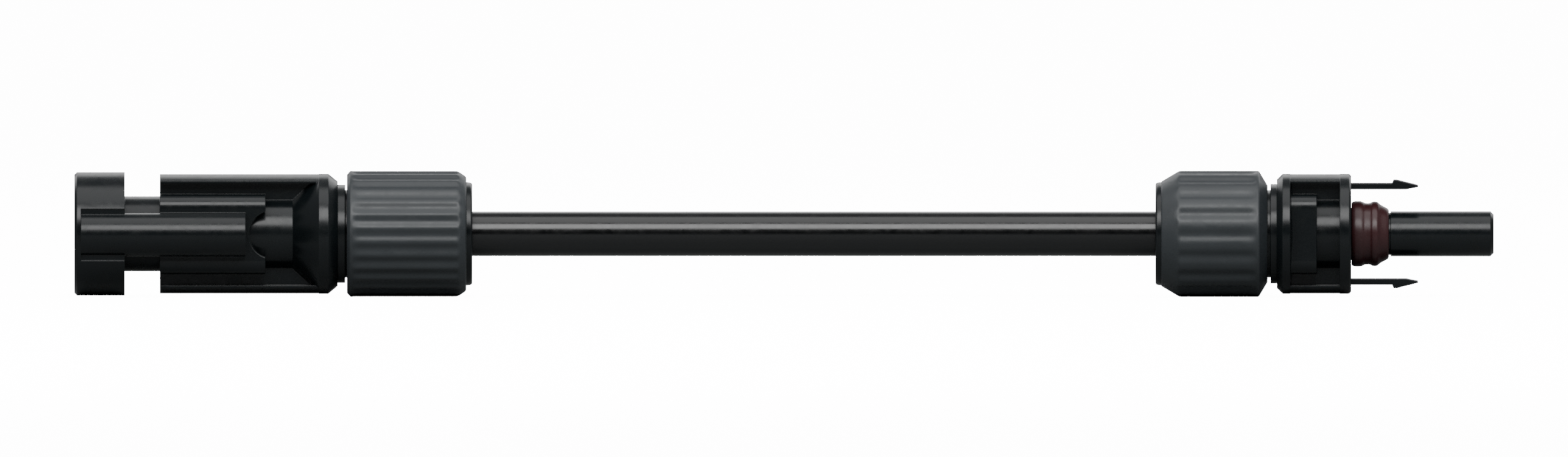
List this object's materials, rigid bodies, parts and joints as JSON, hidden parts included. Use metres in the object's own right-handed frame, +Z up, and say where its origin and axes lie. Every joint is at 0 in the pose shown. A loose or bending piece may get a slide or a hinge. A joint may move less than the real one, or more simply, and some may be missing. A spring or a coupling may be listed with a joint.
{
  "type": "solar cable connector",
  "caption": "Short solar jumper lead: straight black cable with a latch-slot hood connector on one end and a latching tube connector on the other.",
  "frame": {"origin": "the middle of the lead, on its axis", "axes": "+X along the lead towards the tube connector's tip, +Z up, with the latch arms above and below the axis"},
  "size_m": [0.214, 0.0206, 0.019],
  "materials": {
    "housing_plastic": "glossy moulded plastic",
    "nut_plastic": "satin moulded plastic",
    "cage_plastic": "satin moulded plastic",
    "seal_rubber": "matte rubber",
    "front_seal_rubber": "satin silicone",
    "tinned_copper": "tin plated",
    "spring_steel": "brushed",
    "contact_band": "plated",
    "cable_jacket": "glossy extruded jacket",
    "cable_insulation": "smooth"
  },
  "bodies": {
    "root": {"hood_housing": "housing_plastic", "pin_contact": "tinned_copper", "pin_retaining_clip": "spring_steel", "hood_gland_seal": "seal_rubber", "tube_housing": "housing_plastic", "front_seal_ring": "front_seal_rubber", "socket_contact": "tinned_copper", "socket_spring_band": "contact_band", "socket_retaining_clip": "spring_steel", "tube_gland_seal": "seal_rubber", "cable_jacket": "cable_jacket", "cable_insulation": "cable_insulation", "conductor_strands": "tinned_copper"},
    "hood_cage": {"hood_clamping_cage": "cage_plastic"},
    "hood_nut": {"hood_gland_nut": "nut_plastic"},
    "tube_cage": {"tube_clamping_cage": "cage_plastic"},
    "tube_nut": {"tube_gland_nut": "nut_plastic"},
    "upper_latch": {"latch_upper": "housing_plastic"},
    "lower_latch": {"latch_lower": "housing_plastic"}
  },
  "joints": [
    {"name": "hood_nut_travel", "type": "slide", "parent": "root", "child": "hood_cage", "axis": [1, 0, 0], "range_m": [0, 0.00675]},
    {"name": "hood_nut_turn", "type": "hinge", "parent": "hood_cage", "child": "hood_nut", "pos_m": [-0.0573, 0, 0], "axis": [1, 0, 0], "range_deg": [0, 1620.5]},
    {"name": "tube_nut_travel", "type": "slide", "parent": "root", "child": "tube_cage", "axis": [-1, 0, 0], "range_m": [0, 0.00675]},
    {"name": "tube_nut_turn", "type": "hinge", "parent": "tube_cage", "child": "tube_nut", "pos_m": [0.0643, 0, 0], "axis": [-1, 0, 0], "range_deg": [0, 1620.5]},
    {"name": "upper_latch_flex", "type": "hinge", "parent": "root", "child": "upper_latch", "pos_m": [0.08455, 0, 0.0072], "axis": [0, 1, 0], "range_deg": [0, 5], "stiffness_Nm_per_rad": 0.02},
    {"name": "lower_latch_flex", "type": "hinge", "parent": "root", "child": "lower_latch", "pos_m": [0.08455, 0, -0.0072], "axis": [0, -1, 0], "range_deg": [0, 5], "stiffness_Nm_per_rad": 0.02}
  ],
  "couplings": [
    {"joint": "hood_nut_turn", "follows": "hood_nut_travel", "rad_per_m": 4188.8},
    {"joint": "tube_nut_turn", "follows": "tube_nut_travel", "rad_per_m": 4188.8}
  ]
}
